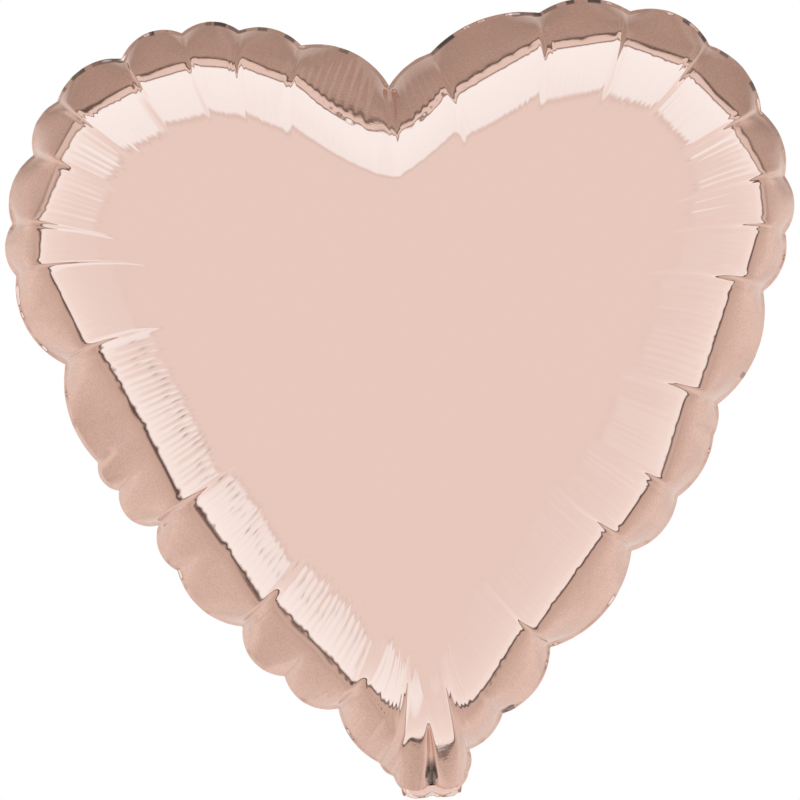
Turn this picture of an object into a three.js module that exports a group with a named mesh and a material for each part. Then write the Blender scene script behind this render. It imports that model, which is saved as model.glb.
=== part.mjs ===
// Heart-shaped foil balloon, inflated, with its tail folded up behind the tip.
// Millimetres. +X is to the right seen from the front, +Y to the back, +Z up.
// The origin is the neck at the tip of the heart, where a ribbon is tied round it.
import * as THREE from 'three';

// Overall size of the inflated heart, from the outer edge of its seam
const HEART_WIDTH = 380;
const HEART_HEIGHT = 378;
const CLEFT_DEPTH = 36;
const THICKNESS = 156;

// Sheets. The real foil is a few hundredths thick and is thickened here to be a solid
const FOIL = 0.8;
const VALVE_FILM = 0.4;

// The heat-sealed band that runs round the whole outline
const SEAM_WIDTH = 4;

// Neck, tail and the two-ply valve that runs through them into the balloon
const NECK_WIDTH = 30;
const TAIL_LENGTH = 75;
const NECK_SIDE_SEAM = 5; // from the neck's and the tail's edges to the valve
const VALVE_REACH = 70; // above the neck, inside the balloon
const VALVE_INSET = 12; // from the tail's open end to the valve's mouth

// Clearances
const GAP = 0.3; // between faces that touch on the real balloon
const PLY_CLEARANCE = 0.6; // beside each valve ply, for it to open into
const VALVE_SIDE_GAP = 1; // from the valve's edges to the tail's side seams
const FOLD_RADIUS = 2.5; // from the fold's axis to the neck and to the tail
const TAIL_CLEARANCE = 1.2; // from the folded tail to the dome behind the tip

// A flat spot at the middle of each panel, where the foil is stretched flat
const FLAT_SPOT_RADIUS = 15;

// Puckers, where the seam is drawn in, from the cleft down to the neck. Each is its
// distance from the centre line as a share of half the width, its height as a share of
// the full height, and how far the lobe below it stands out as a share of its chord.
const CLEFT_BULGE = { right: 0.1, left: 0.22 };
const PUCKERS = {
  right: [
    [0.11, 0.936, 0.14], [0.39, 0.976, 0.18], [0.62, 0.97, 0.23], [0.815, 0.92, 0.19],
    [0.935, 0.83, 0.16], [0.985, 0.75, 0.2], [0.975, 0.68, 0.17], [0.91, 0.608, 0.14],
    [0.78, 0.468, 0.09], [0.765, 0.429, 0.11], [0.665, 0.354, 0.16], [0.54, 0.289, 0.16],
    [0.32, 0.173, 0.18], [0.19, 0.093, 0.12], [0.1, 0.05, 0.12],
  ],
  left: [
    [0.215, 0.955, 0.2], [0.37, 0.977, 0.27], [0.515, 0.979, 0.32], [0.67, 0.948, 0.26],
    [0.84, 0.9, 0.24], [0.905, 0.837, 0.21], [0.97, 0.751, 0.21], [0.968, 0.685, 0.17],
    [0.858, 0.569, 0.12], [0.793, 0.442, 0.22], [0.744, 0.405, 0.27], [0.65, 0.358, 0.19],
    [0.608, 0.299, 0.16], [0.453, 0.223, 0.22], [0.355, 0.157, 0.2], [0.224, 0.112, 0.12],
    [0.129, 0.04, 0.12],
  ],
};
const LOBE_STEP = 13; // longest straight piece of a lobe

// The dome is built on rings round this height, at these shares of the way to the seam
const RING_CENTRE = 0.57 * HEART_HEIGHT;
const RINGS = [0.36, 0.58, 0.74, 0.86, 0.94, 0.98];
const LOBES_FADE_FROM = 0.7; // further in than this the rings are plain
const DOME_POWER = 1.4; // flat in the middle and round at the rim, as inflated foil is
const SMOOTHING_REACH = 2; // neighbours on each side that even the lobes out
const NECK_FLARE = 40; // power of the share of the way out at which the dome meets the neck
const FILM_SWEEPS = 1500;
const FILM_OVERSHOOT = 1.9;

// Half the thickness of the pressed-flat neck and tail: a ply, its clearance and the foil
const PLY_OUTER = GAP / 2 + VALVE_FILM;
const NECK_INNER = PLY_OUTER + PLY_CLEARANCE;
const NECK_HALF = NECK_INNER + FOIL;
const VALVE_WIDTH = NECK_WIDTH - 2 * NECK_SIDE_SEAM;
const CHANNEL_HALF = VALVE_WIDTH / 2 + VALVE_SIDE_GAP; // half the open width at the neck

const foil = new THREE.MeshStandardMaterial({ color: 0xe7c7bb, metalness: 1, roughness: 0.12 });
const clearFilm = new THREE.MeshStandardMaterial({ color: 0xd9d4cf, metalness: 0, roughness: 0.35 });

const wrap = (i, n) => (i + n) % n;

/** Points of a round lobe from a up to b, leaving b out. centre is inside the heart. */
function lobe(a, b, bulge, centre) {
  const chord = b.clone().sub(a);
  const length = chord.length();
  const out = new THREE.Vector2(chord.y, -chord.x).normalize();
  const middle = a.clone().add(b).multiplyScalar(0.5);
  if (out.dot(middle.clone().sub(centre)) < 0) out.negate();
  const sagitta = bulge * length;
  const radius = (length * length / 4 + sagitta * sagitta) / (2 * sagitta);
  const arcCentre = middle.clone().addScaledVector(out, sagitta - radius);
  const halfAngle = Math.asin(length / 2 / radius);
  const steps = Math.max(3, Math.ceil(length / LOBE_STEP));
  const along = chord.clone().normalize();
  return Array.from({ length: steps }, (_, i) => {
    const angle = halfAngle * (2 * i / steps - 1);
    return arcCentre.clone().addScaledVector(along, radius * Math.sin(angle))
      .addScaledVector(out, radius * Math.cos(angle));
  });
}

/** The outer edge of the seam: lobes down the right, the neck, and lobes up the left. */
function outline() {
  const place = (side, [x, z]) => new THREE.Vector2(side * x * HEART_WIDTH / 2, z * HEART_HEIGHT);
  const cleft = new THREE.Vector2(0, HEART_HEIGHT - CLEFT_DEPTH);
  const corner = (side) => new THREE.Vector2(side * NECK_WIDTH / 2, 0);
  const centre = new THREE.Vector2(0, RING_CENTRE);
  const down = (side, name) => {
    const stops = [cleft, ...PUCKERS[name].map((p) => place(side, p)), corner(side)];
    const bulges = [CLEFT_BULGE[name], ...PUCKERS[name].map((p) => p[2])];
    return bulges.map((bulge, i) => [stops[i], stops[i + 1], bulge]);
  };
  const right = down(1, 'right').flatMap(([a, b, bulge]) => lobe(a, b, bulge, centre));
  const left = down(-1, 'left').reverse().flatMap(([a, b, bulge]) => lobe(b, a, bulge, centre));
  const lip = [CHANNEL_HALF, 0, -CHANNEL_HALF].map((x) => new THREE.Vector2(x, 0));
  const points = [...right, corner(1), ...lip, ...left];
  const firstLip = right.length + 1;
  return { points, isLip: (i) => i >= firstLip && i < firstLip + lip.length };
}

/** The loop moved inwards by distance, each point along the mean of its two edges' normals. */
function inset(points, distance) {
  const n = points.length;
  return points.map((p, i) => {
    const along = points[wrap(i + 1, n)].clone().sub(points[wrap(i - 1, n)]).normalize();
    return p.clone().add(new THREE.Vector2(along.y, -along.x).multiplyScalar(distance));
  });
}

/** Loops of the dome seen from the front, from the flat spot out to the seam. */
function domeRings(seam) {
  const centre = new THREE.Vector2(0, RING_CENTRE);
  const n = seam.length;
  const plain = seam.map((_, i) => {
    const sum = new THREE.Vector2();
    for (let k = -SMOOTHING_REACH; k <= SMOOTHING_REACH; k++) sum.add(seam[wrap(i + k, n)]);
    return sum.divideScalar(2 * SMOOTHING_REACH + 1);
  });
  const ring = (share) => seam.map((p, i) => {
    const lobed = THREE.MathUtils.smoothstep(share, LOBES_FADE_FROM, 1);
    return plain[i].clone().lerp(p, lobed).sub(centre).multiplyScalar(share).add(centre);
  });
  const flatSpot = seam.map((p) => p.clone().sub(centre).setLength(FLAT_SPOT_RADIUS).add(centre));
  return [flatSpot, ...RINGS.map(ring), seam];
}

/** Triangles of a disc of rings: a fan at the middle, then two for each quad. */
function discTriangles(ringCount, n) {
  const at = (ring, i) => 1 + ring * n + wrap(i, n);
  const triangles = [];
  for (let i = 0; i < n; i++) triangles.push([0, at(0, i), at(0, i + 1)]);
  for (let r = 0; r + 1 < ringCount; r++) {
    for (let i = 0; i < n; i++) {
      triangles.push([at(r, i), at(r + 1, i), at(r + 1, i + 1)]);
      triangles.push([at(r, i), at(r + 1, i + 1), at(r, i + 1)]);
    }
  }
  return triangles;
}

/** How far each point of a film, held at its rim, rises under an even pressure, from 0 to 1. */
function filmRise(points, triangles, rimStart) {
  const links = points.map(() => new Map());
  const load = points.map(() => 0);
  for (const t of triangles) {
    for (let k = 0; k < 3; k++) {
      const [a, b, c] = [t[k], t[(k + 1) % 3], t[(k + 2) % 3]];
      const u = points[a].clone().sub(points[c]);
      const v = points[b].clone().sub(points[c]);
      const cross = Math.abs(u.cross(v));
      const weight = u.dot(v) / cross / 2;
      links[a].set(b, (links[a].get(b) ?? 0) + weight);
      links[b].set(a, (links[b].get(a) ?? 0) + weight);
      load[c] += cross / 6;
    }
  }
  const rise = points.map(() => 0);
  for (let sweep = 0; sweep < FILM_SWEEPS; sweep++) {
    for (let i = 0; i < rimStart; i++) {
      let pull = load[i];
      let stiffness = 0;
      for (const [j, weight] of links[i]) {
        pull += weight * rise[j];
        stiffness += weight;
      }
      rise[i] += FILM_OVERSHOOT * (pull / stiffness - rise[i]);
    }
  }
  const top = Math.max(...rise);
  return rise.map((value) => Math.max(value, 0) / top);
}

/** A closed mesh through loops of equal length, with a fan at each end. */
function closedLoft(loops, firstTip, lastTip, flip) {
  const n = loops[0].length;
  const vertices = [firstTip, ...loops.flat(), lastTip];
  const last = vertices.length - 1;
  const triangles = discTriangles(loops.length, n);
  const start = 1 + (loops.length - 1) * n;
  for (let i = 0; i < n; i++) triangles.push([last, start + wrap(i + 1, n), start + i]);
  const geometry = new THREE.BufferGeometry();
  geometry.setAttribute('position', new THREE.Float32BufferAttribute(
    vertices.flatMap((v) => [v.x, v.y, v.z]), 3));
  geometry.setIndex(triangles.flatMap(([a, b, c]) => (flip ? [a, c, b] : [a, b, c])));
  geometry.computeVertexNormals();
  return geometry;
}

/** One foil panel: a thin dome with its half of the seam. side is -1 in front and 1 behind. */
function panelGeometry(side) {
  const { points: edge, isLip } = outline();
  const n = edge.length;
  const seam = inset(edge, SEAM_WIDTH);
  const rings = domeRings(seam);
  const flat = [new THREE.Vector2(0, RING_CENTRE), ...rings.flat()];
  const triangles = discTriangles(rings.length, n);
  const rise = filmRise(flat, triangles, flat.length - n);

  const rest = (i) => (isLip(i) ? NECK_INNER : GAP / 2);
  const domeHeight = THICKNESS / 2 - FOIL - GAP / 2;
  const outer = flat.map((p, index) => {
    const ring = Math.floor((index - 1) / n);
    const share = index === 0 ? 0 : [0, ...RINGS, 1][ring];
    const lift = GAP / 2 + (rest(wrap(index - 1, n)) - GAP / 2) * share ** NECK_FLARE;
    const film = ring < 1 ? 1 : rise[index];
    const height = domeHeight * Math.sqrt(1 - (1 - film) ** DOME_POWER);
    return new THREE.Vector3(p.x, side * (lift + FOIL + height), p.y);
  });

  const normals = outer.map(() => new THREE.Vector3());
  for (const [a, b, c] of triangles) {
    const normal = outer[b].clone().sub(outer[a]).cross(outer[c].clone().sub(outer[a]));
    for (const i of [a, b, c]) normals[i].add(normal);
  }
  const inward = (i) => normals[i].setLength(FOIL * Math.sign(-side * normals[i].y));
  const inner = outer.map((p, i) => {
    if (Math.floor((i - 1) / n) < 1) return new THREE.Vector3(p.x, p.y - side * FOIL, p.z);
    return p.clone().add(inward(i));
  });

  const ringOf = (vertices, ring) => vertices.slice(1 + ring * n, 1 + (ring + 1) * n);
  const outerLoops = rings.map((_, ring) => ringOf(outer, ring));
  const innerLoops = rings.slice(0, -1).map((_, ring) => ringOf(inner, ring)).reverse();
  const atRest = (loop, extra) => loop.map(
    (p, i) => new THREE.Vector3(p.x, side * (rest(i) + extra), p.y));
  const loops = [
    ...outerLoops, atRest(edge, FOIL), atRest(edge, 0), atRest(inset(edge, SEAM_WIDTH + FOIL), 0),
    ...innerLoops,
  ];
  return closedLoft(loops, outer[0], inner[0], side < 0);
}

/** A flat strip of film standing on z = bottom, with its inner face at y = near. */
function strip(width, near, thickness, bottom, top) {
  const geometry = new THREE.BoxGeometry(width, thickness, top - bottom);
  return geometry.translate(0, near + Math.sign(near) * thickness / 2, (bottom + top) / 2);
}

/** One side of the tail: flat over the valve, and pinched to its sealed edges. */
function tailFilmGeometry(side) {
  const half = NECK_WIDTH / 2;
  const inner = [
    [-half, GAP / 2], [-CHANNEL_HALF, NECK_INNER], [CHANNEL_HALF, NECK_INNER], [half, GAP / 2],
  ];
  const outer = inner.map(([x, y]) => [x, y + FOIL]).reverse();
  const section = [...inner, ...outer].map(([x, y]) => new THREE.Vector2(x, side * y));
  return new THREE.ExtrudeGeometry(new THREE.Shape(section), {
    depth: TAIL_LENGTH, bevelEnabled: false, steps: 1,
  }).translate(0, 0, FOLD_RADIUS);
}

function named(name, geometry, material) {
  const mesh = new THREE.Mesh(geometry, material);
  mesh.name = name;
  return mesh;
}

const SIDES = { front: -1, back: 1 };
const balloon = new THREE.Group();
const tail = new THREE.Group();

for (const [name, side] of Object.entries(SIDES)) {
  balloon.add(named(`${name}_panel`, panelGeometry(side), foil));
  balloon.add(named(`${name}_valve_ply`,
    strip(VALVE_WIDTH, side * GAP / 2, VALVE_FILM, GAP, VALVE_REACH), clearFilm));
  const folded = -side; // turned over: the front film faces away from the balloon
  tail.add(named(`${name}_tail_film`, tailFilmGeometry(folded), foil));
  tail.add(named(`${name}_tail_valve_ply`,
    strip(VALVE_WIDTH, folded * GAP / 2, VALVE_FILM, FOLD_RADIUS,
      FOLD_RADIUS + TAIL_LENGTH - VALVE_INSET), clearFilm));
}

/** The least angle from upright at which the folded tail clears the dome behind the tip. */
function tailTilt(panel) {
  const points = panel.geometry.getAttribute('position');
  let tilt = 0;
  for (let i = 0; i < points.count; i++) {
    const [x, y, z] = [points.getX(i), points.getY(i) - NECK_HALF, points.getZ(i) + FOLD_RADIUS];
    const distance = Math.hypot(y, z);
    const beside = Math.abs(x) < NECK_WIDTH / 2 + LOBE_STEP;
    if (!beside || y < GAP || distance > FOLD_RADIUS + TAIL_LENGTH) continue;
    tilt = Math.max(tilt, Math.atan2(y, z) + Math.asin((NECK_HALF + TAIL_CLEARANCE) / distance));
  }
  return tilt;
}

// The tail turns about a line just behind and below the neck's lower edge
tail.position.set(0, NECK_HALF, -FOLD_RADIUS);
tail.rotation.x = -tailTilt(balloon.getObjectByName('back_panel'));
balloon.add(tail);

export default balloon;
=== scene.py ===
"""Heart-shaped foil balloon: the finished look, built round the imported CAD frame. Metres."""
from collections import namedtuple
import math

import bpy
import numpy as np
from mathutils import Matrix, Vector


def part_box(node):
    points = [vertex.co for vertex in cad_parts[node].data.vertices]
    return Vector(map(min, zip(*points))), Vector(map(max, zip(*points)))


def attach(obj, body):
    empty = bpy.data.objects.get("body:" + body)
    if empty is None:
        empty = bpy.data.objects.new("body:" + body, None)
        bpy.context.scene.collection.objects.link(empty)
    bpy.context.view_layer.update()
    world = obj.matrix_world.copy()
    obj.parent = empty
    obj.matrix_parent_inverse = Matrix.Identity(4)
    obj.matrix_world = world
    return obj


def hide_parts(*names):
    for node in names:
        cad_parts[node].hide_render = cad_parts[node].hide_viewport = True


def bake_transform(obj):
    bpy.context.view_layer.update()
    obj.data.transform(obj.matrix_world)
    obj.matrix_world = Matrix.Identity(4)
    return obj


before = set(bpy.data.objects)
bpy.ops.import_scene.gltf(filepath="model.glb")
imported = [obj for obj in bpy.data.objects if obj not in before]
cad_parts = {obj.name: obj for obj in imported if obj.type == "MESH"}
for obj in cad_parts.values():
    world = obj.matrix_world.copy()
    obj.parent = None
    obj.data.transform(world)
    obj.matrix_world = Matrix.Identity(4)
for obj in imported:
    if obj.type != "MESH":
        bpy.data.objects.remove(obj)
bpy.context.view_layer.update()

MM = 0.001
TAU = 2 * math.pi
rng = np.random.default_rng(18)

# Overall sizes, from the frame. Points in the panel's plane are (x, z)
panel_low, panel_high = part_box("front_panel")
PANEL_LOW = np.array([panel_low[0], panel_low[2]])
PANEL_SIZE = np.array([panel_high[0] - panel_low[0], panel_high[2] - panel_low[2]])
HALF_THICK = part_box("back_panel")[1][1]
HEIGHT = panel_high[2]
DOME_MIDDLE = np.array([0.0, 0.573 * HEIGHT])

# The seam's puckers, from the cleft down to the neck on each side. Each row gives its
# distance from the centre line as a share of half the width, its height as a share of the
# full height, how far the lobe below it stands out as a share of its chord, how far its
# crease runs into the panel in mm, how strongly the panel below it is pleated, and how far
# inside it the flat facets begin, in mm.
PUCKERS = {
    "right": [
        (0.000, 0.897, 0.09, 36, 0.5, 26), (0.110, 0.936, 0.12, 36, 0.5, 19),
        (0.390, 0.978, 0.15, 34, 0.2, 14), (0.620, 0.973, 0.18, 42, 0.5, 12),
        (0.815, 0.924, 0.15, 34, 0.9, 13), (0.935, 0.836, 0.14, 44, 0.9, 12),
        (0.985, 0.752, 0.17, 24, 0.8, 9), (0.977, 0.680, 0.15, 34, 0.3, 9),
        (0.913, 0.608, 0.14, 30, 0.8, 10), (0.780, 0.468, 0.09, 40, 0.5, 11),
        (0.765, 0.429, 0.11, 8, 0.5, 11), (0.665, 0.354, 0.15, 30, 0.7, 10.5),
        (0.540, 0.289, 0.15, 36, 0.7, 10.5), (0.320, 0.173, 0.16, 34, 0.6, 11),
        (0.190, 0.093, 0.12, 20, 0.4, 13), (0.100, 0.050, 0.12, 10, 0.2, 18),
    ],
    "left": [
        (0.000, 0.897, 0.16, 36, 0.5, 26), (0.215, 0.955, 0.15, 24, 0.3, 16),
        (0.370, 0.979, 0.18, 36, 0.2, 15), (0.515, 0.980, 0.21, 24, 0.3, 14),
        (0.670, 0.952, 0.18, 36, 0.8, 13), (0.840, 0.903, 0.18, 34, 0.9, 12),
        (0.908, 0.837, 0.17, 30, 0.7, 12), (0.972, 0.751, 0.18, 32, 0.5, 11),
        (0.970, 0.685, 0.16, 36, 0.4, 10), (0.860, 0.569, 0.12, 40, 1.4, 13),
        (0.793, 0.442, 0.22, 8, 1.4, 16), (0.744, 0.405, 0.27, 8, 1.4, 16),
        (0.650, 0.358, 0.19, 42, 1.3, 16), (0.608, 0.299, 0.16, 10, 1.3, 16),
        (0.453, 0.223, 0.22, 34, 1.2, 15), (0.355, 0.157, 0.20, 12, 1.1, 14),
        (0.224, 0.112, 0.12, 26, 0.8, 14), (0.129, 0.040, 0.12, 12, 0.2, 17),
    ],
}
MAIN_REACH = 22  # creases that run further than this divide the rim into its flat facets
FACET_BULGE = 0.07  # of the plain lobe over each facet
FACET_TILT = (0.1, 1.5 * MM, 5 * MM)  # between its ends: a share of its length, least and most
FACET_PIVOT = 0.75  # how far down a facet the tilt leaves it in place

# The neck ends in two small lobes, with a slot between them: places, reaches and depths as
# above. Its corners have no crease, and their reach is MAIN_REACH
NECK_CORNER = (0.095, 0.022)
NECK_CORNER_DEPTH = 19
NECK_SLOT = (0.000, 0.006)
NECK_SLOT_REACH = 14
NECK_SLOT_DEPTH = 21
NECK_BULGE = 0.30
NECK_HALF = 1.6 * MM  # half the neck's thickness at its slot

SEAM_INSET = 1.8 * MM  # seen from the front: the 4 mm seam is bent back
SEAM_BEND = 3.6 * MM
SEAM_HALF_GAP = 0.15 * MM
RUFFLES = ((7, 0.16), (1.6, 0.12))  # waves in the bend: how long in samples, and how high

SAMPLES = 1536  # round the seam
COARSE_STEP = 8  # samples to one of those that the pressed film is worked out on
LOBE_POINTS = 200  # on each lobe, before it is sampled
# How far values are smoothed round the rim, in samples
EDGE_SMOOTH = 1.2
FACET_SMOOTH = 2.2
LINE_SMOOTH = 3
NECK_SMOOTH = 4
PLEAT_SMOOTH = 6
SLOPE_SMOOTH = 10
PUFF_SMOOTH = 14
PLAIN_SMOOTH = 18
NORMAL_SMOOTH = 22


def smoothstep(low, high, x):
    t = np.clip((x - low) / (high - low), 0, 1)
    return t * t * (3 - 2 * t)


# ---------------------------------------------------------------- outline

Pucker = namedtuple("Pucker", "place reach depth")
Lobe = namedtuple("Lobe", "start end bulge pleats sign")  # sign: 1 right, -1 left, 0 at the neck


def pucker(x, z, reach, depth):
    """A pucker at these shares of half the width and of the height."""
    return Pucker(np.array([x, z]) * np.array([PANEL_SIZE[0] / 2, HEIGHT]), reach, depth)


def neck_corner(sign):
    return pucker(sign * NECK_CORNER[0], NECK_CORNER[1], MAIN_REACH, NECK_CORNER_DEPTH)


def side_lobes(name, sign):
    """One side's lobes, from the cleft down to the neck."""
    table = PUCKERS[name]
    puckers = [pucker(sign * x, z, reach, depth) for x, z, _, reach, _, depth in table]
    puckers.append(neck_corner(sign))
    return [Lobe(puckers[i], puckers[i + 1], row[2], row[4], sign) for i, row in enumerate(table)]


def rim_lobes():
    """All the lobes in order from the cleft: down the right side, along the neck, up the left."""
    slot = pucker(*NECK_SLOT, NECK_SLOT_REACH, NECK_SLOT_DEPTH)
    neck = [Lobe(start, end, NECK_BULGE, 0.0, 0)
            for start, end in ((neck_corner(1), slot), (slot, neck_corner(-1)))]
    left = [lobe._replace(start=lobe.end, end=lobe.start) for lobe in reversed(side_lobes("left", -1))]
    return side_lobes("right", 1) + neck + left


def arc(a, b, bulge, share):
    """Points at these shares of the way from a to b on a lobe that stands out to the left."""
    chord = b - a
    length = np.hypot(*chord)
    along = chord / length
    out = np.array([-along[1], along[0]])
    sagitta = bulge * length
    radius = (length ** 2 / 4 + sagitta ** 2) / (2 * sagitta)
    half = math.asin(length / 2 / radius)
    angle = half * (2 * share - 1)
    middle = (a + b) / 2 + out * (sagitta - radius)
    return middle + np.outer(np.sin(angle), along) * radius + np.outer(np.cos(angle), out) * radius


def smooth_loop(values, sigma):
    """A closed run of values smoothed along itself; sigma is in samples."""
    n = len(values)
    gauss = np.exp(-0.5 * (np.fft.rfftfreq(n) * TAU * sigma) ** 2)
    gauss = gauss.reshape(-1, *[1] * (values.ndim - 1))
    return np.fft.irfft(np.fft.rfft(values, axis=0) * gauss, n, axis=0)


def inward(points):
    """Unit normals in the plane, pointing into a loop that runs clockwise seen from the front."""
    along = np.roll(points, -1, axis=0) - np.roll(points, 1, axis=0)
    along /= np.linalg.norm(along, axis=1)[:, None]
    return np.stack([along[:, 1], -along[:, 0]], axis=1)


def loop_lengths(points):
    """Distance along a closed loop to each of its points, and the whole length."""
    steps = np.linalg.norm(np.roll(points, -1, axis=0) - points, axis=1)
    return np.concatenate([[0], np.cumsum(steps)[:-1]]), steps.sum()


class Rim:
    """The balloon's rim, sampled evenly all round.

    at, total: distances along it, and its length. starts: where each lobe begins. edge: the
    seam's outer edge. plain: the rim with its lobes smoothed away. flat: the rim as straight
    facets. normal: into the panel. line: how far in the facets begin. creases: where along the
    rim each crease starts, how far it runs and its lobe's sign. pleats: how strong they are.
    ruffle: how unevenly the seam is bent. at_neck: 1 along the neck."""

    def __init__(self):
        self.lobes = rim_lobes()
        share = np.arange(LOBE_POINTS) / LOBE_POINTS
        dense = np.concatenate([arc(lobe.start.place, lobe.end.place, lobe.bulge, share)
                                for lobe in self.lobes])
        low, high = dense.min(axis=0), dense.max(axis=0)
        fit = PANEL_SIZE / (high - low)
        dense = dense * fit + (PANEL_LOW - low * fit)

        lengths, self.total = loop_lengths(dense)
        self.starts = lengths[::LOBE_POINTS]
        self.at = np.arange(SAMPLES) * self.total / SAMPLES
        self.edge = np.stack([np.interp(self.at, np.append(lengths, self.total), np.append(run, run[0]))
                              for run in dense.T], axis=1)
        self.creases = [(start, lobe.start.reach * MM, lobe.sign)
                        for start, lobe in zip(self.starts, self.lobes) if lobe.start.reach != MAIN_REACH]
        which = np.searchsorted(self.starts, self.at, side="right") - 1
        self.pleats = smooth_loop(np.array([self.lobes[i].pleats for i in which]), PLEAT_SMOOTH)
        on_neck = np.array([float(self.lobes[i].sign == 0) for i in which])
        self.at_neck = smooth_loop(on_neck, NECK_SMOOTH)
        depths = np.array([lobe.start.depth for lobe in self.lobes + self.lobes[:1]]) * MM
        depths = np.interp(self.at, np.append(self.starts, self.total), depths)
        self.line = smooth_loop(depths, LINE_SMOOTH)
        self.ruffle = 1 + self.waves(*RUFFLES[0]) + self.waves(*RUFFLES[1])

        lobed, self.flat = self.facets(dense)
        self.plain = smooth_loop(lobed, PLAIN_SMOOTH)
        self.normal = inward(smooth_loop(lobed, NORMAL_SMOOTH))

    def waves(self, sigma, size):
        """Smooth random waves round the rim; sigma is in samples."""
        made = smooth_loop(rng.normal(0, 1, SAMPLES), sigma)
        return made * size / made.std()

    def facets(self, dense):
        """The main lobes, and the straight facets between main creases, at the same samples."""
        main = [i for i, lobe in enumerate(self.lobes) if lobe.start.reach >= MAIN_REACH]
        ends = np.append(self.starts, self.total)
        lobed, flat = np.zeros_like(self.edge), np.zeros_like(self.edge)
        for first, last in zip(main, main[1:] + [len(self.lobes)]):
            begin, finish = ends[first], ends[last]
            inside = (self.at >= begin) & (self.at < finish)
            share = (self.at[inside] - begin) / (finish - begin)
            a, b = dense[first * LOBE_POINTS], dense[(last * LOBE_POINTS) % len(dense)]
            length = np.hypot(*(b - a))
            along = (b - a) / length
            into = np.array([along[1], -along[0]])
            sign = self.lobes[first].sign
            from_top = share if sign > 0 else 1 - share
            amount, least, most = FACET_TILT
            tilt = min(max(amount * length, least), most) if sign else 0
            lobed[inside] = arc(a, b, FACET_BULGE, share)
            flat[inside] = a + np.outer(share, b - a) + np.outer(tilt * (FACET_PIVOT - from_top), into)
        return lobed, flat


# ---------------------------------------------------------------- dome

DOME_POWER = 1.4  # these two turn the pressed film's rise into the filled panel's round section
RIM_POWER = 0.43
MIDDLE_RADIUS = 16 * MM  # of the ring where the lines in from the rim end
CONTROL = 70 * MM  # how far the lines into the panel keep square to the rim
CONTROL_ROOM = 0.85  # and the most, as a share of the way to the centre line
FLAT_TO_PLAIN = (34 * MM, 85 * MM)  # how far in the flat facets begin to fade, and are gone
SLOPE_STEP = 2 * MM  # the slope is measured over this length
LINE_SLOPE = 1.42  # where the flat facets begin
STEEPER = (-0.5, 0.6)  # least and most that the dome's slope there is changed to reach it
KNEE_SLOPE, KNEE = 0.28, 2.5 * MM  # how much steeper the lobes get just outside, and how soon
LOBE_RISE = (1.6, 2.5)  # least and most, from the seam to the facets, as a share of the way in
MOST_PUFF = 6 * MM  # how far the dome is raised or lowered for that
NECK_PUFF = 14 * MM  # and raised near the neck
PUFF_REACH = 62 * MM  # how far in the dome is changed
NEAR_NECK = (0.05, 0.16)  # shares of the height: the neck's puff is whole, and gone


def ring_shares():
    """Where the rings lie along the lines in, and how many samples each has."""
    rim_shares = np.concatenate([
        np.linspace(0, 0.012, 7)[:-1], np.linspace(0.012, 0.06, 12)[:-1],
        np.linspace(0.06, 0.18, 19)[:-1], np.linspace(0.18, 0.46, 14)])
    parts = [(rim_shares, 1), (np.linspace(0.47, 0.66, 12), 2), (np.linspace(0.69, 0.84, 7), 4),
             (np.linspace(0.88, 0.97, 4), 8)]
    shares = np.concatenate([part for part, _ in parts])
    counts = [SAMPLES // step for part, step in parts for _ in part]
    return shares, counts


def lines_in(start, normal, control, t, ends):
    """Points on the curves from each start, square to the rim, to the ends in the middle."""
    t = t[:, None, None]
    square = start + normal * control[:, None]
    return (1 - t) ** 2 * start + 2 * t * (1 - t) * square + t ** 2 * ends


def middle_ring(start):
    """Where the lines from each start end, on a small ring round the dome's middle."""
    away = start - DOME_MIDDLE
    return DOME_MIDDLE + away / np.linalg.norm(away, axis=1)[:, None] * MIDDLE_RADIUS


def control_lengths(rim):
    """CONTROL, but short of the centre line where the two sides draw together."""
    x, heading = rim.plain[:, 0], rim.normal[:, 0]
    closing = x * heading < 0
    room = np.where(closing, np.abs(x) / np.maximum(np.abs(heading), 1e-6), 1.0)
    return smooth_loop(np.minimum(CONTROL, CONTROL_ROOM * room), SLOPE_SMOOTH)


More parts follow.
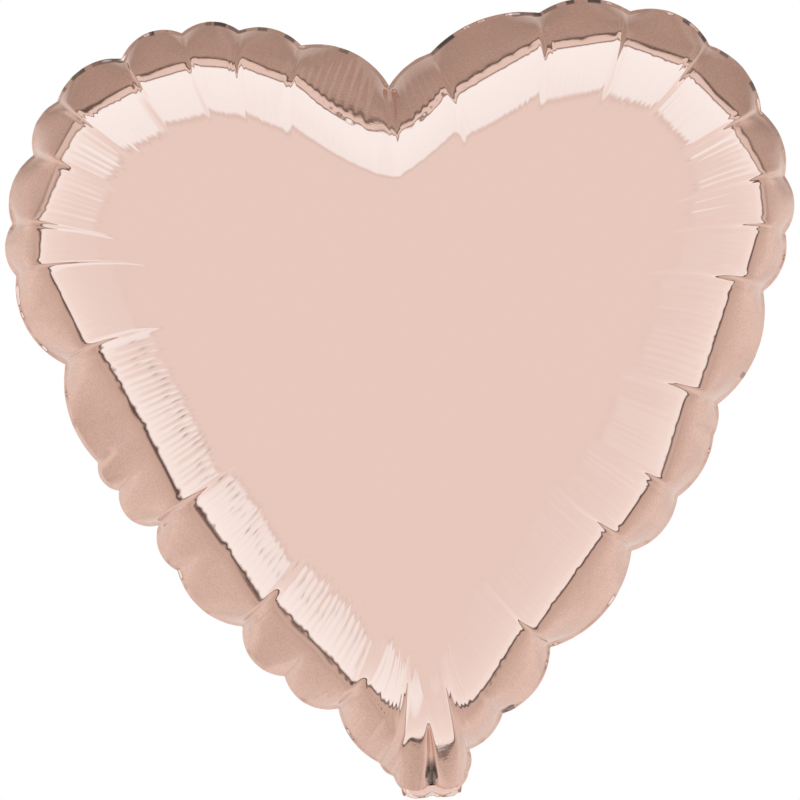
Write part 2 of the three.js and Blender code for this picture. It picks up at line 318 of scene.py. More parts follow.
def film_rise(points):
    """How far an evenly pressed film, held at its rim, rises at each point of (ring, sample).
    From 0 at the rim to 1 at the top. The first ring is the rim. Solved on the triangles
    between the points, by conjugate gradients."""
    rings, n, _ = points.shape
    flat = np.concatenate([points.reshape(-1, 2), DOME_MIDDLE[None]])
    r, i = np.meshgrid(np.arange(rings - 1), np.arange(n), indexing="ij")
    a, b = r * n + i, r * n + (i + 1) % n
    c, d = a + n, b + n
    quads = np.concatenate([np.stack([a, b, d], -1), np.stack([a, d, c], -1)]).reshape(-1, 3)
    last = (rings - 1) * n + np.arange(n)
    fan = np.stack([last, np.roll(last, -1), np.full(n, rings * n)], -1)
    triangles = np.concatenate([quads, fan])
    pairs, weights = [], []
    load = np.zeros(len(flat))
    for k in range(3):
        p, q, s = (triangles[:, (k + m) % 3] for m in range(3))
        u, v = flat[p] - flat[s], flat[q] - flat[s]
        cross = np.abs(u[:, 0] * v[:, 1] - u[:, 1] * v[:, 0]) + 1e-15
        pairs.append(np.stack([p, q], -1))
        weights.append((u * v).sum(1) / cross / 2)
        load += np.bincount(s, cross / 6, len(flat))
    p, q = np.concatenate(pairs).T
    w = np.concatenate(weights)
    free = np.arange(len(flat)) >= n
    total = np.bincount(p, w, len(flat)) + np.bincount(q, w, len(flat))

    def stiffness(x):
        return total * x - np.bincount(p, w * x[q], len(flat)) - np.bincount(q, w * x[p], len(flat))

    x = np.zeros(len(flat))
    residual = np.where(free, load, 0)
    scaled = residual / total
    direction = scaled.copy()
    energy = residual @ scaled
    for _ in range(1500):
        pushed = np.where(free, stiffness(direction), 0)
        step = energy / (direction @ pushed)
        x += step * direction
        residual -= step * pushed
        scaled = residual / total
        fresh = residual @ scaled
        if fresh < 1e-16 * load.sum():
            break
        direction = scaled + fresh / energy * direction
        energy = fresh
    return np.clip(x[:-1].reshape(rings, n) / x.max(), 0, 1)


def spread_samples(values, n):
    """(ring, sample) values at n samples to each ring, smoothly."""
    spectrum = np.fft.rfft(values, axis=1)
    return np.fft.irfft(spectrum, n, axis=1) * n / values.shape[1]


def plain_dome(rim, t):
    """The dome without its lobes: its plan, its height and the distance in, at (ring, sample)."""
    control = control_lengths(rim)
    set_in = rim.normal * SEAM_INSET
    flat, plain = smooth_loop(rim.flat, FACET_SMOOTH) + set_in, rim.plain + set_in
    ends = middle_ring(plain)
    pick = slice(None, None, COARSE_STEP)
    coarse = lines_in(plain[pick], rim.normal[pick], control[pick], t, ends[pick])
    film = np.clip(spread_samples(film_rise(coarse), SAMPLES), 0, 1)
    height = (HALF_THICK - SEAM_HALF_GAP) * (1 - (1 - film) ** DOME_POWER) ** RIM_POWER

    steps = np.linalg.norm(np.diff(lines_in(plain, rim.normal, control, t, ends), axis=0), axis=2)
    deep = np.concatenate([np.zeros((1, SAMPLES)), np.cumsum(steps, axis=0)])
    start = flat + (plain - flat) * smoothstep(*FLAT_TO_PLAIN, deep)[..., None]
    plan = lines_in(start, rim.normal, control, t, ends)
    return plan, height, deep


def at_depth(values, deep, where):
    """(ring, sample) values on each sample's line in, as far along it as where says."""
    return np.array([np.interp(where[i], deep[:, i], values[:, i]) for i in range(len(where))])


def knee(x):
    """How far a lobe falls beyond its first slope, at this distance outside the facets."""
    return KNEE_SLOPE * (x - KNEE * (1 - np.exp(-x / KNEE)))


def add_lobes(rim, seam, plan, height, deep):
    """The dome with its lobes: outside the facets' line it falls to the seam, ever steeper."""
    line, past = rim.line, rim.line + SLOPE_STEP
    at_line, at_past = (np.stack([at_depth(plan[..., k], deep, where) for k in range(2)], axis=1)
                        for where in (line, past))
    run = np.linalg.norm(at_past - at_line, axis=1)
    width = np.linalg.norm(at_line - seam, axis=1)

    def top_and_slope(height):
        top = at_depth(height, deep, line)
        return top, (at_depth(height, deep, past) - top) / run

    # The dome is first raised or lowered inside the line, and tilted there
    top, slope = top_and_slope(height)
    near_neck = 1 - smoothstep(*NEAR_NECK, (rim.plain + rim.normal * SEAM_INSET)[:, 1] / HEIGHT)
    most = MOST_PUFF + (NECK_PUFF - MOST_PUFF) * near_neck
    wanted = np.clip(top, LOBE_RISE[0] * width, LOBE_RISE[1] * width)
    more = smooth_loop(np.clip(wanted - top, -MOST_PUFF, most), PUFF_SMOOTH)
    steeper = smooth_loop(np.clip(LINE_SLOPE - slope, *STEEPER), SLOPE_SMOOTH)
    x = np.clip((deep - line) / PUFF_REACH, 0, 1)
    height = height + more * (1 - 3 * x ** 2 + 2 * x ** 3)
    height = height + steeper * PUFF_REACH * (x - 2 * x ** 2 + x ** 3)

    top, slope = top_and_slope(height)
    u = np.minimum(deep / line, 1)
    out = (1 - u) * width
    rest = top - slope * width - knee(width)
    drop = slope * out + knee(out) + rest * (1 - u) ** 3
    height = np.where(u < 1, top - drop, height)
    plan = np.where(u[..., None] < 1, seam + (at_line - seam) * u[..., None], plan)
    return plan, height


# ---------------------------------------------------------------- folds and pleats

# Pairs are least and most, in mm where they are lengths
PLEAT_HEIGHT = 0.20 * MM
PLEAT_SIZES = (0.45, 1.35)  # shares of that
PLEAT_WIDTHS = (2.6, 4.6)
PLEAT_STARTS = (-1, 4)  # inside the facets' line
PLEAT_ENDS = (28, 48)
# Painted shade in the pleats' valleys, half-way along them:
VALLEY_SHADE_AT, VALLEY_SHADE_LENGTH = 0.47, 0.045  # shares of the way along a pleat
VALLEY_SHADE_WIDTH = 0.45  # how far up the pleats' sides
VALLEY_SHADE_FROM = 0.95  # only pleats that are stronger than this
CREASE_DEPTH, CREASE_WIDTH = 0.65 * MM, 1.0 * MM
CREASE_SHARE = 0.8  # of its reach
FOLDS_BESIDE = (4, 8)  # a main crease has at least the first, and fewer than the second
BESIDE_BEGINS, BESIDE_LENGTHS = (2, 12), (14, 30)
BESIDE_OFFSETS, BESIDE_DEPTHS, BESIDE_WIDTHS = (-6, 6), (-0.2, 0.4), (0.7, 1.0)
SLOT_FOLD = (2.5 * MM, 2.0 * MM, 0, 30 * MM)  # depth, width, where it begins and ends
CLEFT_FOLD = (0.7 * MM, 0.9 * MM, 8 * MM, 56 * MM)
FOLD_ENTRY = 4 * MM  # a fold takes this long to reach its depth
FOLD_LEAN = 40 * MM  # and over this length it moves aside by its offset


def pleat_field(rim, deep, random):
    """Fine pleats square to the rim: round ridges with sharp valleys between them. Also where
    painted shade darkens the valleys, half-way along."""
    along, total = loop_lengths(rim.plain)
    widths = random.uniform(*PLEAT_WIDTHS, 600) * MM
    valleys = np.concatenate([[0], np.cumsum(widths)])
    valleys = valleys[valleys < total]
    valleys[-1] = total
    which = np.clip(np.searchsorted(valleys, along, side="right") - 1, 0, len(valleys) - 2)
    across = (along - valleys[which]) / (valleys[which + 1] - valleys[which])
    ridge = np.abs(np.sin(math.pi * across)) ** 0.75
    size = random.uniform(*PLEAT_SIZES, len(valleys))[which]
    start = random.uniform(*PLEAT_STARTS, len(valleys))[which] * MM
    end = (random.uniform(*PLEAT_ENDS, len(valleys)) * MM)[which]
    share = (deep - start) / (end - start)
    body = smoothstep(0, 0.2, share) * (1 - smoothstep(0.7, 1.0, share))
    valley_spots = np.exp(-(ridge / VALLEY_SHADE_WIDTH) ** 2) * np.exp(-((share - VALLEY_SHADE_AT) / VALLEY_SHADE_LENGTH) ** 2)
    valley_shade = valley_spots * np.clip(2.5 * (rim.pleats - VALLEY_SHADE_FROM), 0, 1)
    return PLEAT_HEIGHT * rim.pleats * size * ridge * body, valley_shade


def fold(away, deep, offset, depth, width, begin, end):
    """A sharp valley that runs in from the rim, from begin to end, and leans off to its side."""
    across = np.abs(away - offset * (0.5 + deep / FOLD_LEAN)) / width
    run = smoothstep(begin, begin + FOLD_ENTRY, deep) * (1 - smoothstep((begin + end) / 2, end, deep))
    return depth * np.exp(-across ** 1.4) * run


def crease_field(rim, deep, random):
    """The folds that run in from the seam's puckers, with finer ones beside the main ones."""
    field = np.zeros_like(deep)
    for place, reach, sign in rim.creases:
        away = (rim.at - place + rim.total / 2) % rim.total - rim.total / 2
        field -= fold(away, deep, 0.0, CREASE_DEPTH, CREASE_WIDTH, 0, CREASE_SHARE * reach)
        if reach > MAIN_REACH * MM:
            for _ in range(random.integers(*FOLDS_BESIDE)):
                begin = random.uniform(*BESIDE_BEGINS) * MM
                offset = random.uniform(*BESIDE_OFFSETS) * MM
                depth = random.uniform(*BESIDE_DEPTHS) * MM
                width = random.uniform(*BESIDE_WIDTHS) * MM
                end = begin + random.uniform(*BESIDE_LENGTHS) * MM
                field -= fold(away, deep, offset, depth, width, begin, end)
        if sign == 0:
            field -= fold(away, deep, 0.0, *SLOT_FOLD)
        if place == 0:
            field -= fold(away, deep, 0.0, *CLEFT_FOLD)
    return field


# ---------------------------------------------------------------- panels

NECK_CLOSES = 20 * MM  # how far in the neck's thickness is gone
BAND_ENDS = (0.75, 1.05)  # shares of the way to the facets, where the grain fades
# Painted shade in the neck's slot:
SLOT_SHADE = (1.4 * MM, 5 * MM, 11 * MM)  # how wide, and where it begins to fade and ends
# Painted shade on the seam: dark reflections where it is crimped, as short runs of marks, most of them
# along the top.
CRIMP_TRIES = 90
CRIMP_SAMPLES = (3, 12)
LOW_CRIMPS = 0.06  # how likely a try is to be kept low down; along the top all are kept
TOP = (0.8, 0.95)  # shares of the height, between which more and more are kept


def seam_shade_marks(rim, random):
    """1 where painted shade darkens the seam's crimps and 0 elsewhere: short runs, most of them along the
    top.
    """
    marks = np.zeros(SAMPLES)
    for start in random.integers(0, SAMPLES, CRIMP_TRIES):
        high = smoothstep(*TOP, rim.edge[start, 1] / HEIGHT)
        if random.random() < LOW_CRIMPS + (1 - LOW_CRIMPS) * high:
            run = np.arange(start, start + random.integers(*CRIMP_SAMPLES)) % SAMPLES
            marks[run] = random.uniform(0.5, 1.0)
    return marks


def where_shade_is_painted(rim, deep, painted_shade, valley_shade):
    """How dark the painted shade makes the foil at (ring, sample): in the neck's slot, in the pleats'
    valleys and on the seam's crimps.
    """
    slot = next(place for place, _, sign in rim.creases if sign == 0)
    width, fades, ends = SLOT_SHADE
    dark = np.exp(-((rim.at - slot) / width) ** 2) * (1 - smoothstep(fades, ends, deep))
    dark = np.maximum(dark, 0.75 * valley_shade)
    for ring, share in enumerate((1.0, 0.7)):
        dark[ring] = np.maximum(dark[ring], painted_shade * share)
    return dark


def seam_loops(rim, seam, rest, side):
    """The flat welded band outside the dome, from its outer edge inwards, bent back and ruffled."""
    loops = []
    for share, layer in ((1.0, 0.0), (0.96, 1.0), (0.66, 1.0), (0.33, 1.0)):
        plan = seam + (rim.edge - seam) * share
        bend = SEAM_BEND * share * rim.ruffle
        loops.append(np.stack([plan[:, 0], bend + side * rest * layer, plan[:, 1]], axis=1))
    return loops


def outward(body, side):
    """Unit normals of a panel's (ring, sample) points."""
    round_it = np.roll(body, -1, axis=1) - np.roll(body, 1, axis=1)
    normal = np.cross(np.gradient(body, axis=0), round_it) * -side
    normal /= np.linalg.norm(normal, axis=-1, keepdims=True) + 1e-12
    return normal * np.sign(normal[..., 1:2] * side + 1e-9)


def thinned(rows, counts):
    """The rows of all the rings, with as many samples in each as its count."""
    return [row[::SAMPLES // count] for row, count in zip(rows, counts)]


def panel_mesh(name, rim, side, random):
    """One foil panel: its half of the seam, its lobes, facets, folds, pleats and dome.
    side is -1 in front and 1 behind."""
    shares, counts = ring_shares()
    seam = rim.edge + inward(smooth_loop(rim.edge, EDGE_SMOOTH)) * SEAM_INSET
    plan, height, deep = plain_dome(rim, shares)
    plan, height = add_lobes(rim, seam, plan, height, deep)
    rest = SEAM_HALF_GAP + rim.at_neck * (NECK_HALF - SEAM_HALF_GAP)
    lift = SEAM_HALF_GAP + (rest - SEAM_HALF_GAP) * (1 - smoothstep(0, NECK_CLOSES, deep))
    body = np.stack([plan[..., 0], side * (lift + height), plan[..., 1]], axis=-1)
    pleats, valley_shade = pleat_field(rim, deep - rim.line, random)
    body += outward(body, side) * (pleats + crease_field(rim, deep, random))[..., None]

    on_seam = seam_loops(rim, seam, rest, side)
    middle = np.array([DOME_MIDDLE[0], side * HALF_THICK, DOME_MIDDLE[1]])
    piece = mesh_from_loops(name, on_seam + thinned(body, counts), middle, side)
    painted_shade = seam_shade_marks(rim, random)
    band = 1 - smoothstep(*BAND_ENDS, deep / rim.line)
    dark = where_shade_is_painted(rim, deep, painted_shade, valley_shade)
    # The second attribute carries the painted shade: the seam's crimps, the neck's slot and the pleats'
    # valleys.
    for title, edge, inside in (("band", np.ones(SAMPLES), band), ("painted_shade", painted_shade, dark)):
        values = np.concatenate([edge] * len(on_seam) + thinned(inside, counts) + [[0.0]])
        layer = piece.data.attributes.new(title, "FLOAT", "POINT")
        layer.data.foreach_set("value", values.astype(np.float32))
    return piece


def mesh_from_loops(name, loops, top, side):
    """A smooth mesh through closed loops, each with as many points as the one before or half."""
    faces, start = [], len(loops[0])
    for before, loop in zip(loops, loops[1:]):
        n = len(loop)
        old = start - len(before)
        i = np.arange(n)
        j = (i + 1) % n
        if len(before) == n:
            faces += np.stack([old + i, old + j, start + j, start + i], -1).tolist()
        else:
            mid = 2 * i + 1
            after = old + (mid + 1) % len(before)
            faces += np.stack([old + 2 * i, old + mid, start + i], -1).tolist()
            faces += np.stack([old + mid, after, start + j, start + i], -1).tolist()
        start += n
    n = len(loops[-1])
    last = start - n
    faces += [[last + i, last + (i + 1) % n, start] for i in range(n)]
    if side > 0:
        faces = [face[::-1] for face in faces]
    return smooth_piece(name, np.concatenate(loops + [top[None]]), faces)


def smooth_piece(name, points, faces):
    """A piece with smooth shading from its points and faces."""
    mesh = bpy.data.meshes.new(name)
    mesh.from_pydata(points.tolist(), [], faces)
    mesh.validate()
    mesh.shade_smooth()
    piece = bpy.data.objects.new(name, mesh)
    bpy.context.scene.collection.objects.link(piece)
    return piece


# ---------------------------------------------------------------- tail

tail_low, tail_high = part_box("back_tail_film")
TILT = math.atan2(tail_high[1] - tail_low[1], tail_high[2] - tail_low[2])
TAIL_HALF = 15 * MM
TAIL_LENGTH = 75 * MM
TAIL_START = 4 * MM  # how far inside the neck it begins
FOLD_RADIUS = 2.02 * MM
FOLD_DROP = 0.5 * MM  # how far the fold hangs below its hinge
FOLD_SPREAD = 2.4 * MM  # how far along the tail the fold is drawn together, and how far up
FOLD_NARROWS = 0.18  # share of its width
FOLD_FLATTENS = 0.6  # share of its puff
FILM_WALL = 0.08 * MM
TAIL_SEAMS = (0.76, 0.95)  # shares of the half width, between which a film comes down to its seam
SEAMED = 0.12  # mm between a film and the tail's middle at the side seams
PUFF, SWELL = 0.95, 0.20  # mm that a film adds to that between them, and how unevenly
LUMPS = 0.10
GATHERS = (11, 17, 23, 31)  # waves across the film by the neck, in radians over half its width
GATHER_HEIGHT, GATHER_REACH = 0.11, 16 * MM
PLY_ROOM = (0.60, 0.68)  # least mm added over the valve plies, in the tail and in the neck
PLY_SWING = 0.16  # more room in the neck, where the plies open, for each unit up from the hinge
END_CURL, CURL_FROM = 6 * MM, 0.88  # the tail's end curls out, from this share of its length


def tail_path():
    """The tail's middle from just inside the neck, round the fold and out to its open end:
    the distance along, where the fold ends, and (y, z) and the direction out of the fold."""
    turn = math.pi - TILT
    fold_end = FOLD_RADIUS * turn
    stops = np.concatenate([np.linspace(-TAIL_START, 0, 6)[:-1], np.linspace(0, fold_end, 22)[:-1],
                            fold_end + np.linspace(0, TAIL_LENGTH, 110)])
    angle = np.clip(stops / FOLD_RADIUS, 0, turn)
    inside_neck, past_fold = np.minimum(stops, 0), np.maximum(stops - fold_end, 0)
    drop = FOLD_DROP + (FOLD_RADIUS - FOLD_DROP) * smoothstep(0.5 * turn, turn, angle)
    y = FOLD_RADIUS * (1 - np.cos(angle)) + past_fold * math.sin(TILT)
    z = -drop * np.sin(angle) - inside_neck + past_fold * math.cos(TILT)
    return stops, fold_end, np.stack([y, z], axis=1), -np.stack([np.cos(angle), np.sin(angle)], axis=1)


def tail_rise(u, v, fold_end, at_fold, random):
    """How far a film stands off the tail's middle: puffed up between its side seams, lumpy,
    gathered by the neck, and outside the valve plies."""
    inside = 1 - smoothstep(*TAIL_SEAMS, np.abs(u))
    puff = SEAMED + PUFF * inside + SWELL * inside * np.sin(v / (11 * MM) + 1.3 * u)
    gathered = np.exp(-np.maximum(v - fold_end, 0) / GATHER_REACH)
    phase = random.uniform(0, TAU, len(GATHERS))
    folds = sum(np.sin(u * k + p + v * 40) for k, p in zip(GATHERS, phase))
    lumps = smooth_loop(random.normal(0, 1, u.shape), 5)
    lumps = smooth_loop(lumps.T, 3).T
    lumps *= LUMPS / lumps.std()
    uneven = (GATHER_HEIGHT * folds * gathered + lumps) * inside
    rise = (puff + uneven) * (1 - FOLD_FLATTENS * at_fold) * MM
    in_neck = SEAMED * MM + (PLY_ROOM[1] * MM + PLY_SWING * np.maximum(-v, 0)) * inside
    neck = 1 - smoothstep(-3 * MM, 1 * MM, v)
    least = (SEAMED + PLY_ROOM[0] * inside) * MM
    return np.maximum(rise * (1 - neck) + in_neck * neck, least)


def tail_film(name, side, random):
    """One film of the tail. side is 1 for the film that is in front at the neck, and so on the
    outside of the fold, and -1 for the other."""
    stops, fold_end, middle, out = tail_path()
    v, u = np.meshgrid(stops, np.linspace(-1, 1, 61), indexing="ij")
    at_fold = np.exp(-((v - fold_end / 2) / FOLD_SPREAD) ** 2)
    rise = tail_rise(u, v, fold_end, at_fold, random)
    near_end = smoothstep(CURL_FROM, 1.25, np.maximum(v - fold_end, 0) / TAIL_LENGTH)
    shift = side * rise + END_CURL * near_end * np.cos(u * 1.2)
    half = TAIL_HALF * (0.93 + 0.07 * smoothstep(0, 18 * MM, v)) * (1 - 0.012 * np.cos(v / (9 * MM)))
    between_lobes = 1 - np.abs(np.sin(math.pi * u)) ** 0.7  # 0 along two round lobes
    x = half * u * (1 - FOLD_NARROWS * at_fold)
    yz = middle[:, None] + out[:, None] * shift[..., None]
    yz[..., 1] += FOLD_SPREAD * between_lobes * at_fold

    rows, columns = u.shape
    i, j = np.meshgrid(np.arange(rows - 1), np.arange(columns - 1), indexing="ij")
    a = i * columns + j
    faces = np.stack([a, a + 1, a + columns + 1, a + columns], -1).reshape(-1, 4)
    if side > 0:
        faces = faces[:, ::-1]
    points = np.concatenate([x[..., None], yz], axis=-1).reshape(-1, 3)
    piece = smooth_piece(name, points, faces.tolist())
    wall = piece.modifiers.new("film", "SOLIDIFY")
    wall.thickness = FILM_WALL
    wall.offset = 0
    return piece


# ---------------------------------------------------------------- materials

FOIL_COLOUR = (0.80, 0.575, 0.500)
GRAIN, CLOUD = 0.55, 0.16  # how uneven its tone is where it is gathered, finely and in patches
# How far the painted shade darkens the foil:
PAINTED_SHADE_DARKNESS = 0.93
TAIL_GRAIN = 0.35  # how gathered the tail looks throughout


def math_node(tree, operation, *inputs):
    node = tree.nodes.new("ShaderNodeMath")
    node.operation = operation
    for socket, value in zip(node.inputs, inputs):
        if isinstance(value, (int, float)):
            socket.default_value = value
        else:
            tree.links.new(value, socket)
    return node.outputs[0]


def noise_node(tree, scale, detail, place=None):
    node = tree.nodes.new("ShaderNodeTexNoise")
    node.inputs["Scale"].default_value = scale
    node.inputs["Detail"].default_value = detail
    if place:
        tree.links.new(place, node.inputs["Vector"])
    return node.outputs[0]


def attribute_node(tree, name):
    node = tree.nodes.new("ShaderNodeAttribute")
    node.attribute_name = name
    return node.outputs["Fac"]


def new_material(title):
    made = bpy.data.materials.new(title)
    made.use_nodes = True
    return made, made.node_tree, made.node_tree.nodes["Principled BSDF"]


def foil_material(title, grain_everywhere=0.0):
    """Rose-gold foil: a mirror with a fine grain where it is gathered, darkened by painted shade in the
    neck's slot, the pleats' valleys and the seam's crimps.
    """
    made, tree, shader = new_material(title)
    shader.inputs["Metallic"].default_value = 1.0
    shader.inputs["Coat Weight"].default_value = 0.08
    shader.inputs["Coat Roughness"].default_value = 0.03
    place = tree.nodes.new("ShaderNodeTexCoord").outputs["Object"]
    band = math_node(tree, "MAXIMUM", attribute_node(tree, "band"), grain_everywhere)

    def uneven(scale, detail, amount):
        centred = math_node(tree, "SUBTRACT", noise_node(tree, scale, detail, place), 0.5)
        return math_node(tree, "MULTIPLY", centred, amount)

    both = math_node(tree, "ADD", uneven(900, 3, GRAIN), uneven(60, 2, CLOUD))
    tone = math_node(tree, "ADD", math_node(tree, "MULTIPLY", both, band), 1.0)
    # The painted shade attribute darkens the foil's colour:
    painted_shade = attribute_node(tree, "painted_shade")
    level = math_node(tree, "MULTIPLY", tone, math_node(tree, "MULTIPLY_ADD", painted_shade, -PAINTED_SHADE_DARKNESS, 1.0))
    colour = tree.nodes.new("ShaderNodeVectorMath")
    colour.operation = "SCALE"
    colour.inputs[0].default_value = FOIL_COLOUR
    tree.links.new(level, colour.inputs["Scale"])
    tree.links.new(colour.outputs[0], shader.inputs["Base Color"])

    rough = math_node(tree, "MULTIPLY_ADD", band, 0.03, 0.045)
    worn = math_node(tree, "MULTIPLY_ADD", noise_node(tree, 25, 2, place), 0.02, rough)
    tree.links.new(worn, shader.inputs["Roughness"])
    bump = tree.nodes.new("ShaderNodeBump")
    bump.inputs["Strength"].default_value = 0.12
    bump.inputs["Distance"].default_value = 0.0002
    amount = math_node(tree, "ADD", band, 0.12)
    height = math_node(tree, "MULTIPLY", noise_node(tree, 420, 2, place), amount)
    tree.links.new(height, bump.inputs["Height"])
    tree.links.new(bump.outputs[0], shader.inputs["Normal"])
    return made


def film_material():
    """The valve's clear plastic film, a little cloudy."""
    made, tree, shader = new_material("clear_film")
    shader.inputs["Base Color"].default_value = (0.86, 0.85, 0.83, 1)
    shader.inputs["Alpha"].default_value = 0.5
    haze = math_node(tree, "MULTIPLY_ADD", noise_node(tree, 180, 2), 0.2, 0.15)
    tree.links.new(haze, shader.inputs["Roughness"])
    return made


# ---------------------------------------------------------------- stage

LOOK_AT = Vector((-0.0038, 0.0, HEIGHT / 2 + 0.001))
ROLL = math.radians(3.5)
DISTANCE = 2.6
VIEW_WIDTH = 0.3838
SENSOR = 36
FLOOR_RADIUS = 1.6
FLOOR_HEIGHT = -0.45

# Degrees from straight at the balloon's front, then the light there: above and below, where
# the soft boxes are, and to the sides, where the walls are nearly even. The foil's dark lines
# are the boxes' dark edge, at LINE_AT
LINE_AT = 109
BOX_SKY = [
    (0, (1.00, 1.00, 1.00)), (44, (1.00, 1.00, 1.00)), (49, (0.90, 0.87, 0.86)),
    (53, (1.15, 1.36, 1.47)), (LINE_AT - 1.0, (1.20, 1.43, 1.54)), (LINE_AT, (0.30, 0.22, 0.19)),
    (LINE_AT + 0.8, (0.30, 0.22, 0.19)), (LINE_AT + 1.6, (1.00, 0.95, 0.92)),
    (LINE_AT + 6, (0.92, 0.86, 0.82)), (LINE_AT + 7, (0.12, 0.09, 0.07)),
    (LINE_AT + 8, (0.12, 0.09, 0.07)), (LINE_AT + 9.5, (0.54, 0.45, 0.40)),
    (LINE_AT + 18, (0.50, 0.40, 0.35)), (142, (0.44, 0.35, 0.30)), (150, (0.55, 0.45, 0.40)),
    (160, (0.62, 0.53, 0.48)), (180, (0.90, 0.86, 0.83))]
WALL_SKY = [
    (0, (1.00, 1.00, 1.00)), (50, (1.00, 1.00, 1.00)), (75, (1.02, 1.03, 1.04)),
    (100, (1.08, 1.12, 1.14)), (LINE_AT, (1.16, 1.26, 1.30)), (LINE_AT + 1, (0.10, 0.07, 0.06)),
    (LINE_AT + 2.4, (0.10, 0.07, 0.06)), (LINE_AT + 3.6, (0.70, 0.60, 0.55)),
    (LINE_AT + 10, (0.76, 0.67, 0.62)), (LINE_AT + 20, (0.90, 0.81, 0.76)), (150, (0.84, 0.76, 0.71)),
    (165, (0.84, 0.77, 0.73)), (180, (0.92, 0.88, 0.85))]
SKY_SCALE = 2.0  # a ramp holds colours up to 1, so it holds these divided by this
PATCHES = 0.9  # how uneven the boxes are round the balloon
# Degrees clockwise round the balloon from straight above, and how much of the boxes' light is
# there: boxes above, and walls to the sides and below
BACK_BOXES_AT = [(-180, 0), (-85, 0), (-60, 0.6), (-42, 1), (50, 1), (70, 0.8), (92, 0), (180, 0)]
# In front of LINE_AT there is also a smaller box below and to the left
FRONT_BOXES_AT = [(-180, 0.05), (-150, 0.1), (-135, 0.65), (-116, 0.75), (-104, 0.15), (-80, 0.05),
                  (-58, 0.4), (-40, 1), (45, 1), (60, 0.8), (76, 0.05), (180, 0.05)]


def camera():
    """Straight in front of the balloon, rolled so that it leans as in the photo."""
    data = bpy.data.cameras.new("camera")
    data.sensor_width = SENSOR
    data.lens = SENSOR * DISTANCE / VIEW_WIDTH
    made = bpy.data.objects.new("camera", data)
    bpy.context.scene.collection.objects.link(made)
    made.location = LOOK_AT + Vector((0, -DISTANCE, 0))
    made.rotation_euler = (math.pi / 2, ROLL, 0)
    bpy.context.scene.camera = made


def ramp_node(tree, factor, stops):
    """A colour ramp of (position, colour) stops."""
    ramp = tree.nodes.new("ShaderNodeValToRGB")
    tree.links.new(factor, ramp.inputs[0])
    elements = ramp.color_ramp.elements
    elements.remove(elements[1])
    for number, (position, colour) in enumerate(stops):
        element = elements[0] if number == 0 else elements.new(position)
        element.position = position
        element.color = (*colour, 1)
    return ramp.outputs[0]


def sky_ramp(tree, share, sky):
    """The light by its share of the way round from the balloon's front to its back."""
    return ramp_node(tree, share, [(degrees / 180, [c / SKY_SCALE for c in colour])
                                   for degrees, colour in sky])


def boxes_ramp(tree, turn, boxes):
    """How much of the boxes' light there is, by the share of the turn round the balloon."""
    return ramp_node(tree, turn, [((degrees + 180) / 360, [amount] * 3) for degrees, amount in boxes])


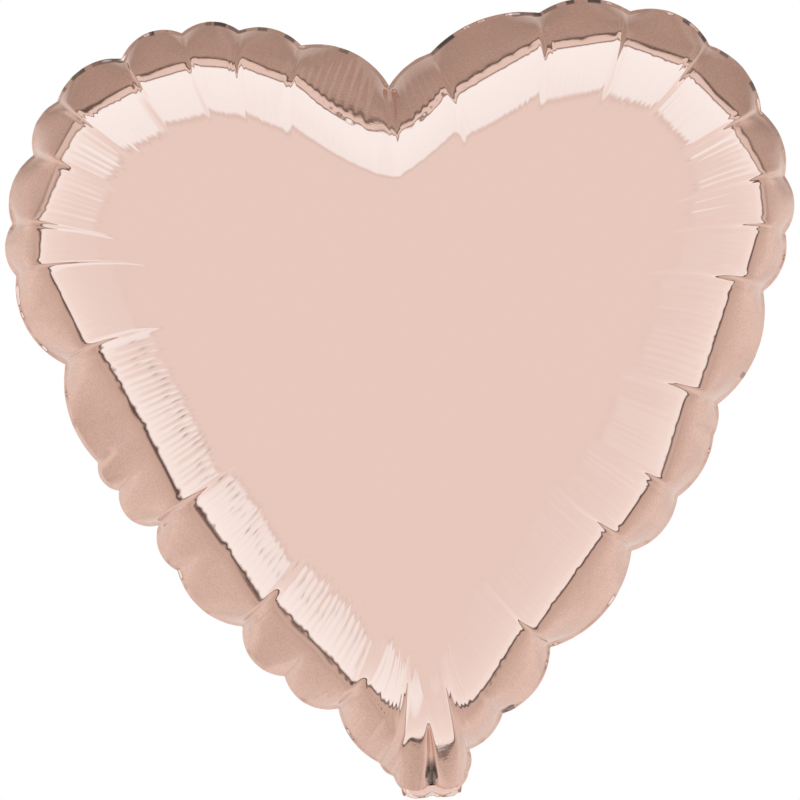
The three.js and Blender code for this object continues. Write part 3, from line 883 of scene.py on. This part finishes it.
def studio():
    """A white room: even light in front, soft boxes round it, and warm walls to the sides."""
    world = bpy.data.worlds.new("studio")
    bpy.context.scene.world = world
    world.use_nodes = True
    tree = world.node_tree
    nodes, links = tree.nodes, tree.links
    axes = nodes.new("ShaderNodeSeparateXYZ")
    links.new(nodes.new("ShaderNodeTexCoord").outputs["Generated"], axes.inputs[0])
    x, y, z = axes.outputs

    angle = math_node(tree, "ARCCOSINE", math_node(tree, "MULTIPLY", y, -0.99999))
    share = math_node(tree, "DIVIDE", angle, math.pi)
    clockwise = math_node(tree, "ARCTAN2", x, z)
    turn = math_node(tree, "MULTIPLY_ADD", clockwise, 1 / TAU, 0.5)

    around = nodes.new("ShaderNodeCombineXYZ")
    links.new(x, around.inputs[0])
    links.new(z, around.inputs[1])
    unit = nodes.new("ShaderNodeVectorMath")
    unit.operation = "NORMALIZE"
    links.new(around.outputs[0], unit.inputs[0])
    patches = noise_node(tree, 4.0, 1.0, unit.outputs[0])

    front, back = (boxes_ramp(tree, turn, boxes) for boxes in (FRONT_BOXES_AT, BACK_BOXES_AT))
    behind = math_node(tree, "GREATER_THAN", share, LINE_AT / 180)
    boxes = math_node(tree, "MULTIPLY_ADD", math_node(tree, "SUBTRACT", back, front), behind, front)
    gaps = math_node(tree, "MULTIPLY_ADD", patches, PATCHES, -0.5 * PATCHES)
    light = nodes.new("ShaderNodeMix")
    light.data_type = "RGBA"
    links.new(math_node(tree, "ADD", boxes, gaps), light.inputs["Factor"])
    links.new(sky_ramp(tree, share, WALL_SKY), light.inputs[6])
    links.new(sky_ramp(tree, share, BOX_SKY), light.inputs[7])
    background = nodes["Background"]
    links.new(light.outputs[2], background.inputs[0])
    background.inputs[1].default_value = SKY_SCALE

    # The camera sees plain white
    seen = nodes.new("ShaderNodeBackground")
    seen.inputs[0].default_value = (1, 1, 1, 1)
    path = nodes.new("ShaderNodeLightPath")
    mix = nodes.new("ShaderNodeMixShader")
    links.new(path.outputs["Is Camera Ray"], mix.inputs[0])
    links.new(background.outputs[0], mix.inputs[1])
    links.new(seen.outputs[0], mix.inputs[2])
    links.new(mix.outputs[0], nodes["World Output"].inputs[0])


def floor():
    """A plain pale floor, well below the balloon."""
    mesh = bpy.data.meshes.new("floor")
    ring = [(FLOOR_RADIUS * math.cos(a), FLOOR_RADIUS * math.sin(a), FLOOR_HEIGHT)
            for a in np.linspace(0, TAU, 97)[:-1]]
    mesh.from_pydata(ring, [], [list(range(len(ring)))])
    made = bpy.data.objects.new("floor", mesh)
    bpy.context.scene.collection.objects.link(made)
    pale, _, shader = new_material("pale_floor")
    shader.inputs["Base Color"].default_value = (0.95, 0.87, 0.83, 1)
    shader.inputs["Roughness"].default_value = 0.6
    mesh.materials.append(pale)
    made.visible_glossy = False


# ---------------------------------------------------------------- the balloon

camera()
studio()
floor()
rim = Rim()
foil = foil_material("rose_gold_foil")
tail_foil = foil_material("rose_gold_tail_foil", TAIL_GRAIN)
clear = film_material()

for name, node, side, seed in (("front_foil", "front_panel", -1, 3), ("back_foil", "back_panel", 1, 4)):
    piece = panel_mesh(name, rim, side, np.random.default_rng(seed))
    piece.data.materials.append(foil)
    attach(piece, "envelope")
    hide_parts(node)

for name, node, side, seed in (("tail_foil_outer", "front_tail_film", 1, 5),
                               ("tail_foil_inner", "back_tail_film", -1, 6)):
    piece = tail_film(name, side, np.random.default_rng(seed))
    piece.data.materials.append(tail_foil)
    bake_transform(piece)
    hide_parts(node)

for node in ("front_valve_ply", "back_valve_ply", "front_tail_valve_ply", "back_tail_valve_ply"):
    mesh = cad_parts[node].data
    mesh.materials.clear()
    mesh.materials.append(clear)

bpy.context.scene.view_settings.view_transform = "Standard"
